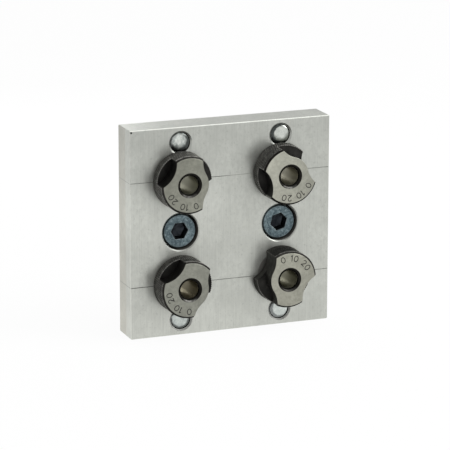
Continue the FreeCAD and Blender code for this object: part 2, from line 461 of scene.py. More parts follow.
def scribed_material():
    """The bottom of a scribed line, with dirt along it, most at the lower line's left end. The upper line is
    faint between the bushings, and both are faint over the sides."""
    shader = Shader("scribed_line")
    along = shader.noise((180, 180, 400), detail=4)
    colour = shader.mix(shader.spread(along, 0.35, 0.65), (0.16, 0.165, 0.15), (0.30, 0.31, 0.285))
    place = shader.position()
    left = shader.spread(place["X"], -0.036, -0.026, 1.0, 0.0)
    lower = shader.spread(place["Z"], -0.001, 0.001, 1.0, 0.0)
    colour = shader.mix(shader.math("MULTIPLY", left, lower), colour, (0.05, 0.05, 0.045))
    from_gap = shader.math("ABSOLUTE", shader.math("SUBTRACT", place["X"], 0.005))
    in_gap = shader.spread(from_gap, 0.004, 0.007, 1.0, 0.0)
    upper = shader.spread(place["Z"], -0.001, 0.001)
    faint = shader.math("MAXIMUM", shader.math("MULTIPLY", in_gap, upper), at_sides(shader, place["X"]))
    colour = shader.mix(shader.math("MULTIPLY", faint, 0.85), colour, (0.47, 0.48, 0.445))
    shader.colour(colour)
    shader.metallic(0.7)
    shader.roughness(shader.spread(along, 0.3, 0.7, 0.42, 0.6))
    return shader.material


def hole_material(name, tone):
    """The wall of a drilled or counterbored hole: dull, with the rings that the tool left."""
    shader = Shader(name)
    rings = shader.noise((40, 2400, 40), detail=3)
    grime = shader.spread(shader.noise(500, detail=4), 0.35, 0.65, 0.0, 0.7)
    colour = shader.mix(grime, tone, scaled(tone, 0.6))
    colour = shader.mix(shader.spread(rings, 0.4, 0.6, 0.0, 0.3), colour, scaled(tone, 1.3))
    shader.colour(colour)
    shader.metallic(0.25)
    shader.roughness(shader.spread(rings, 0.3, 0.7, 0.45, 0.6))
    shader.bump(rings, 0.12, 0.00003)
    return shader.material


def face_material(place, tone, lean, centre):
    """The ground face of a bushing's head: warm steel with the lay of the grinding and light clouding. It
    gets brighter to the right and upward by the two shares in its lean, as painted light."""
    shader = Shader("bushing_face_" + place)
    cloud = shader.spread(shader.noise(210, detail=5, roughness=0.6, centre=centre), 0.32, 0.68)
    colour = shader.mix(cloud, scaled(tone, 0.80), scaled(tone, 1.17))
    handling = shader.spread(shader.noise(850, detail=4, centre=centre), 0.38, 0.62, 0.0, 0.9)
    colour = shader.mix(handling, colour, scaled(tone, 0.74))
    lay = shader.noise((300, 300, 5200), detail=2, roughness=0.6, centre=centre)
    colour = shader.mix(shader.spread(lay, 0.38, 0.62, 0.0, 0.35), colour, scaled(tone, 0.8))
    specks = shader.spread(shader.noise(1900, detail=3), 0.60, 0.72, 0.0, 0.4)
    colour = shader.mix(specks, colour, scaled(tone, 0.62))
    reach = HEAD_RADIUS * MM
    # Painted light: the face brightens to the right and upward.
    for axis, middle, share in (("X", centre[0], lean[0]), ("Z", centre[2], lean[1])):
        level = shader.spread(shader.position()[axis], middle - reach, middle + reach, 1 - share, 1 + share)
        colour = shader.mix(1.0, colour, level, "MULTIPLY")
    shader.colour(colour)
    shader.metallic(0.9)
    shader.roughness(shader.spread(shader.noise(420, detail=3), 0.3, 0.7, 0.30, 0.42))
    shader.bump(lay, 0.15, 0.00002)
    return shader.material


def oxide_material():
    """Blackened steel, rubbed through as far as its wear value says, which on the knurl's crests also stands
    for painted glints.
    """
    shader = Shader("bushing_black_oxide")
    cloud = shader.spread(shader.noise(260, detail=4), 0.32, 0.68)
    colour = shader.mix(cloud, (0.010, 0.010, 0.009), (0.030, 0.029, 0.026))
    shader.colour(shader.mix(shader.rubbed(0.0, 0.5), colour, (0.60, 0.59, 0.55)))
    shader.metallic(0.8)
    shader.specular_tint(0.5, 0.5, 0.5)
    shader.roughness(shader.spread(shader.noise(700, detail=3), 0.3, 0.7, 0.34, 0.50))
    shader.bump(shader.noise(4200, detail=2), 0.12, 0.00002)
    return shader.material


def oxide_and_shade_material():
    """The head's chamfer and the bore's rounded entry, in nearly black oxide that shines little; in the
    rounded entry that darkness is partly painted shade.
    """
    shader = Shader("bushing_oxide_and_shade")
    cloud = shader.spread(shader.noise(420, detail=3), 0.32, 0.68)
    colour = shader.mix(cloud, (0.006, 0.006, 0.005), (0.016, 0.015, 0.013))
    shader.colour(shader.mix(shader.rubbed(0.0, 0.35), colour, (0.60, 0.59, 0.55)))
    shader.metallic(0.8)
    shader.specular_tint(0.2, 0.2, 0.2)
    shader.surface.inputs["Specular IOR Level"].default_value = 0.3
    shader.roughness(shader.spread(cloud, 0.0, 1.0, 0.30, 0.40))
    return shader.material


def bore_material(place, tone):
    """Honed steel inside a drill bore, with faint rings from the hone."""
    shader = Shader("bushing_bore_" + place)
    rings = shader.noise((60, 1600, 60), detail=3)
    cloud = shader.spread(shader.noise((200, 90, 200), detail=4), 0.3, 0.7)
    colour = shader.mix(cloud, scaled(tone, 0.92), scaled(tone, 1.08))
    colour = shader.mix(shader.spread(rings, 0.4, 0.6, 0.0, 0.20), colour, scaled(tone, 0.65))
    shader.colour(colour)
    shader.metallic(0.85)
    shader.specular_tint(0.4, 0.4, 0.38)
    shader.roughness(shader.spread(rings, 0.3, 0.7, 0.29, 0.33))
    shader.bump(rings, 0.015, 0.00001)
    return shader.material


def engraving_material():
    """The darkened floor and walls of the engraved numbers."""
    shader = Shader("bushing_engraving")
    grime = shader.noise(1600, detail=3)
    shader.colour(shader.mix(shader.spread(grime, 0.35, 0.65), (0.012, 0.011, 0.009), (0.05, 0.047, 0.04)))
    shader.metallic(0.3)
    shader.roughness(shader.spread(grime, 0.3, 0.7, 0.5, 0.7))
    return shader.material


def screw_material():
    """Blue-black oxide on the cap screws, blotched where the bath left it thinner."""
    shader = Shader("cap_screw_oxide")
    cloud = shader.spread(shader.noise(260, detail=4), 0.32, 0.68)
    colour = shader.mix(cloud, (0.075, 0.106, 0.119), (0.185, 0.247, 0.265))
    blotches = shader.spread(shader.noise(1250, detail=3, roughness=0.6), 0.42, 0.6, 0.0, 0.75)
    colour = shader.mix(blotches, colour, (0.04, 0.062, 0.074))
    light = shader.spread(shader.noise(1700, detail=2, centre=(0.4, 0.1, 0.2)), 0.55, 0.68, 0.0, 0.6)
    colour = shader.mix(light, colour, (0.30, 0.37, 0.385))
    shader.colour(shader.mix(shader.rubbed(0.2, 0.35), colour, (0.40, 0.46, 0.475)))
    shader.metallic(0.9)
    shader.roughness(shader.spread(shader.noise(700, detail=3), 0.3, 0.7, 0.30, 0.44))
    shader.bump(shader.noise(2400, detail=2), 0.2, 0.00003)
    return shader.material


def socket_material():
    """The screws' sockets, where the oxide is thick and oil has stayed."""
    shader = Shader("cap_screw_socket")
    film = shader.noise(500, detail=4)
    shader.colour(shader.mix(shader.spread(film, 0.35, 0.65), (0.016, 0.019, 0.023), (0.050, 0.057, 0.066)))
    shader.metallic(0.8)
    shader.specular_tint(0.4, 0.4, 0.4)
    shader.roughness(shader.spread(film, 0.3, 0.7, 0.30, 0.45))
    return shader.material


def bright_steel(name, tone, dark, mottling, roughness):
    """Ground bright steel of the pins, the liners and the bushings' shanks, with fine handling marks: its
    shader, its colour and its roughness."""
    shader = Shader(name)
    cloud = shader.spread(shader.noise(520, detail=4), 0.35, 0.65, 0.0, mottling)
    colour = shader.mix(cloud, tone, dark)
    marks = shader.spread(shader.noise(2100, detail=3), 0.60, 0.70, 0.0, 0.5 * mottling)
    colour = shader.mix(marks, colour, scaled(dark, 0.7))
    shader.colour(colour)
    shader.metallic(0.95)
    polish = shader.spread(shader.noise(800, detail=3), 0.3, 0.7, *roughness)
    shader.roughness(polish)
    shader.bump(shader.noise(1500, detail=3), 0.2 * mottling + 0.08, 0.00004)
    return shader, colour, polish


def pin_material(name, tone, dark, mottling, roughness, dark_reflections, centre):
    """A bright pin whose front end's rim is darkened by oil and dirt from the joint around it and by painted
    shade in that joint, with painted dark reflections on some sides of its domed end, while the rest of it is
    duller. A painted dark reflection has the middle of what it leaves clean, from the pin's own, then where
    it starts, its full reach and its tone."""
    shader, colour, polish = bright_steel(name, tone, dark, mottling, roughness)
    depth = shader.position()["Y"]
    in_front = shader.spread(depth, *PIN_FRONT, 1.0, 0.0)
    behind_front = shader.spread(depth, *PIN_FRONT, 0.0, PIN_SIDE_ROUGHNESS)
    shader.roughness(shader.math("MAXIMUM", polish, behind_front))
    waviness = shader.spread(shader.noise(900, detail=3), 0.3, 0.7, -0.00025, 0.00025)

    def ring_mask(aside, up, start, full):
        offset = shader.node("ShaderNodeVectorMath", operation="MULTIPLY_ADD")
        shader.join(shader.place, offset.inputs[0])
        offset.inputs[1].default_value = (1, 0, 1)
        offset.inputs[2].default_value = (-centre[0] - aside * MM, 0, -centre[1] - up * MM)
        reach = shader.node("ShaderNodeVectorMath", operation="LENGTH")
        shader.join(offset.outputs["Vector"], reach.inputs[0])
        ring_masked = shader.spread(shader.math("ADD", reach.outputs["Value"], waviness), start * MM, full * MM)
        return shader.math("MULTIPLY", ring_masked, in_front)

    # Painted reflections: dark patches on the domed end where its surroundings would show dark.
    for *dark_reflection, dark_reflection_tone in dark_reflections:
        colour = shader.mix(ring_mask(*dark_reflection), colour, dark_reflection_tone)
    # The dark ring at the rim: oil and dirt, and painted shade in the joint.
    shader.colour(shader.mix(ring_mask(0, 0, *PIN_RIM_STAIN_AND_SHADE), colour, (0.02, 0.022, 0.02)))
    return shader.material


def zinc_material():
    """Bright zinc plating of the slot nuts."""
    shader = Shader("slot_nut_zinc")
    cloud = shader.spread(shader.noise(260, detail=4), 0.3, 0.7)
    colour = shader.mix(cloud, (0.46, 0.47, 0.47), (0.62, 0.625, 0.60))
    grain = shader.noise((60, 1700, 1700), detail=3)
    colour = shader.mix(shader.spread(grain, 0.4, 0.6, 0.0, 0.25), colour, (0.40, 0.41, 0.42))
    shader.colour(colour)
    shader.metallic(0.9)
    shader.roughness(shader.spread(cloud, 0.0, 1.0, 0.28, 0.4))
    shader.bump(grain, 0.1, 0.00003)
    return shader.material


# Bushings
def wrapped(angles):
    """Angles brought to half a turn either way."""
    return (angles + math.pi) % FULL_TURN - math.pi


def cutter_edge(angles, at):
    """How near the axis the round cutter comes, at each angle, when it stands at one angle."""
    away = wrapped(angles - at)
    inside = CUTTER_RADIUS ** 2 - (CUTTER_REACH * np.sin(away)) ** 2
    touched = (inside > 0) & (np.abs(away) < math.pi / 2)
    near = CUTTER_REACH * np.cos(away) - np.sqrt(np.maximum(inside, 0))
    return np.where(touched, near, np.inf)


def knurl_share(height):
    """How much of the knurl's depth a row has: none at the head's two ends, and all of it further in."""
    ends = min(height - SEAT_CHAMFER, FACE_CHAMFER_HEIGHT - height)
    return min(max(ends / KNURL_FADE, 0), 1)


def knurl(angles, height):
    """Depth of a diamond knurl at each angle of one row: two crossing sets of grooves."""
    around = angles * KNURL_STARTS / FULL_TURN
    along = height / KNURL_AXIAL_PERIOD
    waves = [np.abs(2 * ((around + side * along) % 1.0) - 1) for side in (-1, 1)]
    groove = np.maximum(waves[0], waves[1])
    depth = KNURL_DEPTH * np.clip((groove - KNURL_FLAT) / (1 - KNURL_FLAT), 0, 1)
    return depth * knurl_share(height)


def rows_between(high, low):
    """Heights of the knurl's rows below the first height, down to the second."""
    return np.linspace(high, low, round((high - low) / KNURL_ROW))[1:]


def column_angles(release):
    """Evenly spaced columns, with extra ones where a cut meets the head's side."""
    half_opening = math.acos((HEAD_RADIUS ** 2 + CUTTER_REACH ** 2 - CUTTER_RADIUS ** 2)
                             / (2 * HEAD_RADIUS * CUTTER_REACH))
    angles = list(release + np.arange(KNURL_COLUMNS) * FULL_TURN / KNURL_COLUMNS)
    for at in (0, LOCK_SWEEP, math.pi):
        for side in (-1, 1):
            angles.append(release + at + side * half_opening)
    return np.array(sorted(a % FULL_TURN for a in angles))


def digit_outlines(digit):
    """Outlines of one digit, in millimetres, from the middle of its foot."""
    top, stroke = DIGIT_HEIGHT, DIGIT_STROKE
    if digit == "2":
        bow = 0.78
        turns = np.radians(np.linspace(170, -35, 12))
        outer = [(bow * math.cos(t), top - bow + bow * math.sin(t)) for t in turns]
        inner = [((bow - stroke) * math.cos(t), top - bow + (bow - stroke) * math.sin(t)) for t in turns]
        foot = [(-0.16, stroke), (bow, stroke), (bow, 0), (-bow, 0), (-bow, 0.3)]
        return [outer + foot + inner[::-1]]
    if digit == "1":
        right = 0.24
        flag = [(-0.06, top), (-0.56, top - 0.5), (-0.34, top - 0.76)]
        return [[(right, 0), (right, top), *flag, (right - stroke, top - 0.54), (right - stroke, 0)]]
    loops = []
    turns = np.arange(28) * FULL_TURN / 28
    for inset in (0, stroke):
        half_width, half_height = 0.92 - inset, top / 2 - inset
        loops.append([(half_width * math.cos(t), top / 2 + half_height * math.sin(t)) for t in turns])
    return loops


def placed_digit(digit, angle):
    """A digit's outlines on a bushing's face, at an angle, with its top outward."""
    out = (math.cos(angle), math.sin(angle))
    across = (math.sin(angle), -math.cos(angle))
    return [
        [(out[0] * (ENGRAVING_FOOT + v) + across[0] * u, out[1] * (ENGRAVING_FOOT + v) + across[1] * u)
         for u, v in loop]
        for loop in digit_outlines(digit)
    ]


def inside_loops(loops, x, y):
    """Whether a point is inside an odd number of outlines."""
    inside = False
    for loop in loops:
        for (x1, y1), (x2, y2) in zip(loop, loop[1:] + loop[:1]):
            if (y1 > y) != (y2 > y) and x < x1 + (y - y1) * (x2 - x1) / (y2 - y1):
                inside = not inside
    return inside


def engraved_face(surface, rim, mouth, release):
    """The flat face between the rim and the bore's mouth, with the numbers sunk in it."""
    digits = [placed_digit(digit, release + math.radians(turn)) for digit, turn in ENGRAVED_DIGITS]
    loops = [[tuple(p[:2]) for p in rim], [tuple(p[:2]) for p in mouth]]
    boundary = [list(loop) for loop in loops]
    for digit in digits:
        loops += digit
    points, edges = [], []
    for loop in loops:
        start = len(points)
        points += [Vector(p) for p in loop]
        edges += [(start + i, start + (i + 1) % len(loop)) for i in range(len(loop))]
    flat, _, triangles, *_ = delaunay_2d_cdt(points, edges, [], 0, OUTLINE_GAP)
    kept, sunk = [], []
    for triangle in triangles:
        x = sum(flat[i].x for i in triangle) / 3
        y = sum(flat[i].y for i in triangle) / 3
        if not inside_loops(boundary, x, y):
            continue
        beyond_feet = math.hypot(x, y) > ENGRAVING_FOOT
        in_digit = beyond_feet and any(inside_loops(digit, x, y) for digit in digits)
        (sunk if in_digit else kept).append(tuple(triangle))
    top = [(p.x, p.y, HEAD_HEIGHT, 0) for p in flat]
    floor = [(p.x, p.y, HEAD_HEIGHT - ENGRAVING_DEPTH, 0) for p in flat]
    count = len(flat)
    sunk_edges = {}
    for triangle in sunk:
        for i, j in zip(triangle, triangle[1:] + triangle[:1]):
            key = (min(i, j), max(i, j))
            sunk_edges[key] = sunk_edges.get(key, 0) + 1
    walls = [(i, j, j + count, i + count) for (i, j), uses in sunk_edges.items() if uses == 1]
    floors = [tuple(i + count for i in triangle) for triangle in sunk]
    surface.add(top + floor, kept + floors + walls,
                [FACE] * len(kept) + [ENGRAVING] * (len(floors) + len(walls)))


def bushing_surface(release, worn):
    """A slip bushing with its release angle and wear, from the face's rim down outside and up the bore."""
    angles = column_angles(release)
    through = cutter_edge(angles, release)
    sweep = wrapped(angles - release - LOCK_SWEEP / 2)
    swept = np.where(np.abs(sweep) <= LOCK_SWEEP / 2 + ANGLE_SLACK, LOCK_FLOOR_RADIUS, np.inf)
    cuts = np.minimum.reduce([
        through,
        cutter_edge(angles, release + LOCK_SWEEP),
        cutter_edge(angles, release + math.pi),
        swept,
    ])
    rim = polar(angles, np.minimum(FACE_RADIUS, cuts - CUT_EDGE_BREAK), HEAD_HEIGHT)
    rings, materials = [rim], []

    def ring(radii, height, material, wear=0.0):
        rings.append(polar(angles, radii, height, wear))
        materials.append(material)

    def knurled_ring(limit, height):
        depth = knurl(angles, height)
        # The lightened crests are partly real wear and partly painted glints of light on the knurl.
        crest = worn["knurl"] * knurl_share(height) * np.clip(1 - depth / (KNURL_DEPTH * KNURL_RUBBED), 0, 1)
        wear = np.where(HEAD_RADIUS - depth < limit, crest, worn["wall"])
        at_cut = worn["cut"] * np.clip(1 - np.abs(limit - HEAD_RADIUS) / CUT_WEAR_WIDTH, 0, 1)
        ring(np.minimum(HEAD_RADIUS - depth, limit), height, OXIDE, np.maximum(wear, at_cut))

    whole = cuts > HEAD_RADIUS
    chamfer = np.where(whole, OXIDE_AND_SHADE, OXIDE)
    chamfer_edge = HEAD_RADIUS - EDGE_WEAR_WIDTH
    chamfer_wear = np.where(whole, worn["chamfer"], worn["wall"])
    edge_wear = np.where(whole, worn["edge"], worn["wall"])
    ring(np.minimum(FACE_RADIUS + CUT_EDGE_BREAK, cuts), HEAD_HEIGHT - CUT_EDGE_BREAK, FACE, chamfer_wear)
    ring(np.minimum(chamfer_edge, cuts), FACE_CHAMFER_HEIGHT + EDGE_WEAR_WIDTH, chamfer, chamfer_wear)
    ring(np.minimum(HEAD_RADIUS, cuts), FACE_CHAMFER_HEIGHT, chamfer, edge_wear)
    for height in rows_between(FACE_CHAMFER_HEIGHT, LEDGE_HEIGHT):
        knurled_ring(cuts, height)
    side = HEAD_RADIUS - knurl(angles, LEDGE_HEIGHT)
    ledge = cuts < side
    worn_ledge = np.where(ledge & (through > side), LEDGE_WEAR, 0)
    lip = side - CUT_EDGE_BREAK
    worn_from = np.maximum(lip - LEDGE_WEAR_WIDTH, np.minimum(cuts, lip))
    ring(np.minimum(np.where(ledge, worn_from, side), through), LEDGE_HEIGHT, OXIDE)
    ring(np.minimum(np.where(ledge, lip, side), through), LEDGE_HEIGHT, OXIDE, LEDGE_TOP_SHARE * worn_ledge)
    ring(np.minimum(side, through), LEDGE_HEIGHT - CUT_EDGE_BREAK, OXIDE, worn_ledge)
    for height in rows_between(LEDGE_HEIGHT - CUT_EDGE_BREAK, SEAT_CHAMFER):
        knurled_ring(through, height)
    ring(np.minimum(HEAD_RADIUS - SEAT_CHAMFER, through - CUT_EDGE_BREAK), 0, OXIDE)
    ring(NECK_RADIUS, 0, GROUND_STEEL)
    ring(NECK_RADIUS, -NECK_LENGTH, GROUND_STEEL)
    ring(SHANK_RADIUS, -NECK_LENGTH - (SHANK_RADIUS - NECK_RADIUS), GROUND_STEEL)
    ring(SHANK_RADIUS, SHANK_TIP + SHANK_TIP_CHAMFER, GROUND_STEEL)
    ring(SHANK_RADIUS - SHANK_TIP_CHAMFER, SHANK_TIP, GROUND_STEEL)
    ring(BORE_RADIUS + BORE_EXIT_CHAMFER, SHANK_TIP, GROUND_STEEL)
    ring(BORE_RADIUS, SHANK_TIP + BORE_EXIT_CHAMFER, BORE)
    entry_height = HEAD_HEIGHT - BORE_ENTRY
    ring(BORE_RADIUS, entry_height, BORE)
    # Painted highlight: the outer part of the bore's rounded entry is lightened on its low side, where it
    # catches the light from above.
    lit_low_side = np.clip((-np.sin(angles) - MOUTH_HIGHLIGHT_START) / (1 - MOUTH_HIGHLIGHT_START), 0, 1)
    for turn in np.radians(np.linspace(0, 90, BORE_ENTRY_RINGS))[1:]:
        inward = BORE_ENTRY * math.cos(turn)
        outside = max(math.sin(turn) - MOUTH_HIGHLIGHT_HEIGHT, 0) / (1 - MOUTH_HIGHLIGHT_HEIGHT)
        ring(BORE_RADIUS + BORE_ENTRY - inward, entry_height + BORE_ENTRY * math.sin(turn), OXIDE_AND_SHADE,
             worn["mouth"] * outside * lit_low_side)
    surface = Surface()
    surface.loft(rings, materials)
    engraved_face(surface, rim, rings[-1], release)
    return surface


# Screws
def thread_radius(angles, depth, axial):
    """Radius of a right-handed thread at each angle, at a distance along +Y in millimetres."""
    turned = (math.pi / 2 - angles) / FULL_TURN
    phase = (axial / THREAD_PITCH - turned) % 1.0
    from_crest = np.abs(2 * phase - 1)
    flank = np.clip((from_crest - THREAD_CREST) / (1 - THREAD_CREST - THREAD_ROOT), 0, 1)
    return SCREW_RADIUS - depth * flank


def screw_surface(corner):
    """A cap screw with the angle of one of its socket's corners: the head and socket, then the thread."""
    angles = corner + np.arange(SCREW_COLUMNS) * FULL_TURN / SCREW_COLUMNS
    sixth = FULL_TURN / 6
    from_flat = (angles - corner) % sixth - sixth / 2
    hexagon = SOCKET_HALF_WIDTH / np.cos(from_flat)
    mouth = hexagon * (1 + SOCKET_EDGE_BREAK / SOCKET_HALF_WIDTH)
    teeth = 0.5 - 0.5 * np.cos(SCREW_KNURL_TEETH * (angles - corner))
    knurled = SCREW_HEAD_RADIUS - SCREW_KNURL_DEPTH * teeth
    floor = SCREW_TOP - SOCKET_DEPTH
    side_top = SCREW_TOP - SCREW_HEAD_CHAMFER
    rim = SCREW_HEAD_RADIUS - SCREW_HEAD_CHAMFER - SCREW_RIM_IN
    low_start, low_full = SCREW_KNURL_ABOVE_SEAT
    high_full, high_end = SCREW_KNURL_BELOW_TOP
    rings = [
        polar(angles, SCREW_CORE_RADIUS, SCREW_SEAT),
        polar(angles, SCREW_HEAD_RADIUS - SCREW_HEAD_FOOT, SCREW_SEAT),
        polar(angles, SCREW_HEAD_RADIUS, SCREW_SEAT + SCREW_HEAD_FOOT),
        polar(angles, SCREW_HEAD_RADIUS, SCREW_SEAT + low_start),
        polar(angles, knurled, SCREW_SEAT + low_full),
        polar(angles, knurled, side_top - high_full),
        polar(angles, SCREW_HEAD_RADIUS, side_top - high_end),
        polar(angles, SCREW_HEAD_RADIUS, side_top),
        polar(angles, SCREW_HEAD_RADIUS - SCREW_EDGE_IN, side_top + SCREW_EDGE_UP, SCREW_EDGE_WEAR / 3),
        polar(angles, rim, SCREW_TOP, SCREW_EDGE_WEAR),
        polar(angles, rim - SCREW_RIM_WEAR_WIDTH, SCREW_TOP),
        polar(angles, mouth + SOCKET_WEAR_WIDTH, SCREW_TOP),
        polar(angles, mouth, SCREW_TOP, SCREW_EDGE_WEAR),
        polar(angles, hexagon, SCREW_TOP - SOCKET_EDGE_BREAK, SCREW_EDGE_WEAR),
        polar(angles, hexagon, floor),
    ]
    surface = Surface()
    surface.loft(rings, [SCREW_OXIDE] * (len(rings) - 2) + [SOCKET])
    surface.cap(rings[-1], (0, 0, floor - SOCKET_POINT, 0), SOCKET)
    surface.cap(rings[0], (0, 0, SCREW_SEAT, 0), SCREW_OXIDE)

    angles = np.arange(THREAD_COLUMNS) * FULL_TURN / THREAD_COLUMNS
    end = SCREW_SEAT - SCREW_NECK
    sunk = SCREW_SEAT + THREAD_SUNK
    rings = [polar(angles, SCREW_RADIUS - SCREW_TIP_CHAMFER, SCREW_TIP)]
    for height in np.linspace(SCREW_TIP, end, round((end - SCREW_TIP) / THREAD_ROW))[1:]:
        into_tip = SCREW_RADIUS - max(SCREW_TIP + SCREW_TIP_CHAMFER - height, 0)
        into_neck = THREAD_DEPTH * min((end - height) / THREAD_RUN_OUT, 1)
        radii = np.minimum(thread_radius(angles, into_neck, -height), into_tip)
        rings.append(polar(angles, radii, height))
    rings.append(polar(angles, SCREW_RADIUS + SCREW_NECK, sunk))
    surface.loft(rings, [SCREW_OXIDE] * (len(rings) - 1))
    surface.cap(rings[0], (0, 0, SCREW_TIP, 0), SCREW_OXIDE)
    surface.cap(rings[-1], (0, 0, sunk, 0), SCREW_OXIDE)
    return surface


def nut_thread_surface(low, high):
    """The thread inside a slot nut, between two heights, as a thin sleeve sunk in the nut's bore."""
    angles = np.arange(THREAD_COLUMNS) * FULL_TURN / THREAD_COLUMNS
    sleeve = SCREW_RADIUS + NUT_SLEEVE
    rings = [polar(angles, sleeve, low)]
    for height in np.linspace(low, high, round((high - low) / THREAD_ROW)):
        into_end = max(NUT_THREAD_CHAMFER - min(height - low, high - height), 0)
        opened = SCREW_RADIUS + THREAD_CLEARANCE - NUT_THREAD_DEPTH + into_end
        cut = thread_radius(angles, THREAD_DEPTH, -height) + THREAD_CLEARANCE
        rings.append(polar(angles, np.minimum(np.maximum(cut, opened), sleeve - NUT_SLEEVE_SKIN), height))
    rings.append(polar(angles, sleeve, high))
    surface = Surface()
    surface.loft(rings + [rings[0]], [0] * len(rings))
    return surface


# Plate
def nicked_plate():
    """The plate with the small nick beside its front upper left corner."""
    source = nodes["jig_plate"].data
    mesh = bpy.data.meshes.new("plate")
    mesh.from_pydata([tuple(v.co) for v in source.vertices], [], [tuple(p.vertices) for p in source.polygons])
    bm = bmesh.new()
    bm.from_mesh(mesh)
    bmesh.ops.remove_doubles(bm, verts=bm.verts, dist=SOURCE_SEAM_GAP)
    bm.to_mesh(mesh)
    bm.free()
    piece = add_object("plate", mesh)

    draw = random.Random(4)
    bm = bmesh.new()
    bmesh.ops.create_icosphere(bm, subdivisions=2, radius=NICK_RADIUS)
    for vertex in bm.verts:
        vertex.co = NICK_PLACE + vertex.co * draw.uniform(0.85, 1.15)
    tool_mesh = bpy.data.meshes.new("nick")
    bm.to_mesh(tool_mesh)
    bm.free()
    tool = add_object("nick", tool_mesh)
    cut = piece.modifiers.new("nick", "BOOLEAN")
    cut.operation = "DIFFERENCE"
    cut.solver = "EXACT"
    cut.object = tool
    finished = bpy.data.meshes.new_from_object(piece.evaluated_get(bpy.context.evaluated_depsgraph_get()))
    piece.modifiers.clear()
    piece.data = finished
    bpy.data.objects.remove(tool)
    return piece


def dress_plate(piece):
    """Gives the plate its materials, by where each face is and how it stands. The nick's own faces are square
    to no axis and don't lie in the broken edge. A line's sides face up or down, and the holes' walls don't
    face forward or back."""
    mesh = piece.data
    mesh.materials.clear()
    for material in (
        plate_material(),
        scribed_material(),
        # Painted shade: the counterbores' walls are dark for the shade in the gap around the screw heads, and
        # the pin holes' walls near black for dirt and for the shade in the joint around the pins.
        hole_material("counterbore_wall_shade", (0.15, 0.147, 0.133)),
        hole_material("pin_hole_wall_dirt_and_shade", (0.03, 0.03, 0.027)),
        hole_material("nick", (0.012, 0.012, 0.01)),
        hole_material("pin_hole_mouth", (0.40, 0.405, 0.38)),
    ):
        mesh.materials.append(material)
    rows = [axis_of("liner_bushing_lower_left")[1], axis_of("liner_bushing_upper_left")[1]]
    pins = [axis_of("locating_pin_" + where) for where in RELEASE_ANGLES]
    for polygon in mesh.polygons:
        centre, normal = polygon.center, polygon.normal
        on_line = any(abs(centre.z - row) < SCRIBED_HALF_WIDTH * MM for row in rows)
        among_holes = max(abs(centre.x), abs(centre.z)) < HOLES_REACH * MM
        at_pin = any(math.hypot(centre.x - x, centre.z - z) < PIN_HOLE_REACH * MM for x, z in pins)
        at_nick = (centre - NICK_PLACE).length < 1.2 * NICK_RADIUS
        on_nick = max(map(abs, normal)) < 0.995 and abs(normal.y + normal.z) > 1e-3
        if at_nick and on_nick:
            polygon.material_index = NICK
        elif on_line and abs(normal.z) > 0.2:
            polygon.material_index = SCRIBED
        elif among_holes and abs(normal.y) < 0.3:
            polygon.material_index = PIN_HOLE if at_pin else COUNTERBORE
        elif at_pin and centre.z < 0 and abs(normal.y) < 0.95:
            polygon.material_index = PIN_MOUTH
        else:
            polygon.material_index = MILLED
    shaded(mesh, PLATE_CRISP_ANGLE)
    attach(piece, "jig_body")
    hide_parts("jig_plate")


dress_plate(nicked_plate())

oxide = oxide_material()
engraving = engraving_material()
oxide_and_shade = oxide_and_shade_material()
ground_shader, *_ = bright_steel("ground_steel", (0.42, 0.41, 0.385), (0.30, 0.29, 0.27), 0.6, (0.28, 0.4))
ground_steel = ground_shader.material

# Tone of each face, and how much brighter it gets to the right and upward as painted light
FACE_LOOKS = {
    "upper_left": ((0.288, 0.291, 0.244), (0.063, -0.076)),
    "upper_right": ((0.426, 0.427, 0.363), (-0.17, 0.063)),
    "lower_left": ((0.290, 0.294, 0.252), (-0.10, 0.025)),
    "lower_right": ((0.383, 0.381, 0.320), (-0.077, 0.055)),
}
BORE_TONES = {
    "upper_left": (0.327, 0.323, 0.262),
    "upper_right": (0.339, 0.327, 0.266),
    "lower_left": (0.248, 0.227, 0.166),
    "lower_right": (0.275, 0.27, 0.21),
}

# How far each head's oxide is rubbed through: on the knurl, where the bright crests are partly painted
# glints, the chamfer, the edge between them, the walls of the cuts, the edges of the cuts, and the low side
# of the bore's mouth, where it is a painted highlight
WEAR = {
    "upper_left": {"knurl": 1.2, "chamfer": 0.04, "edge": 0.9, "wall": 0.0, "cut": 0.4, "mouth": 0.4},
    "upper_right": {"knurl": 1.2, "chamfer": 0.0, "edge": 0.3, "wall": 0.03, "cut": 0.9, "mouth": 0.5},
    "lower_left": {"knurl": 0.9, "chamfer": 0.03, "edge": 0.7, "wall": 0.0, "cut": 0.3, "mouth": 0.7},
    "lower_right": {"knurl": 0.3, "chamfer": 0.03, "edge": 0.5, "wall": 0.06, "cut": 0.3, "mouth": 0.2},
}
for where, release in RELEASE_ANGLES.items():
    stand = axis_of("liner_bushing_" + where)
    face = face_material(where, *FACE_LOOKS[where], (stand[0], FRONT_Y, stand[1]))
    bore = bore_material(where, BORE_TONES[where])
    make_piece("bushing_" + where, bushing_surface(math.radians(release), WEAR[where]), stand,
               [face, oxide, engraving, bore, ground_steel, oxide_and_shade], "jig_body",
               ["drill_bushing_" + where])

screw_oxide = screw_material()
socket_oxide = socket_material()
zinc = zinc_material()
for side, corner in SOCKET_CORNERS.items():
    stand = axis_of("clamp_screw_" + side)
    make_piece("cap_screw_" + side, screw_surface(math.radians(corner)), stand,
               [screw_oxide, socket_oxide], side + "_clamp_screw", ["clamp_screw_" + side])
    low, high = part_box("slot_nut_" + side)
    nut_low, nut_high = (FRONT_Y - high.y) / MM, (FRONT_Y - low.y) / MM
    thread = nut_thread_surface(nut_low + NUT_THREAD_INSET, nut_high - NUT_THREAD_INSET)
    make_piece("slot_nut_thread_" + side, thread, stand, [zinc], side + "_slot_nut")
    coat("slot_nut_" + side, zinc)

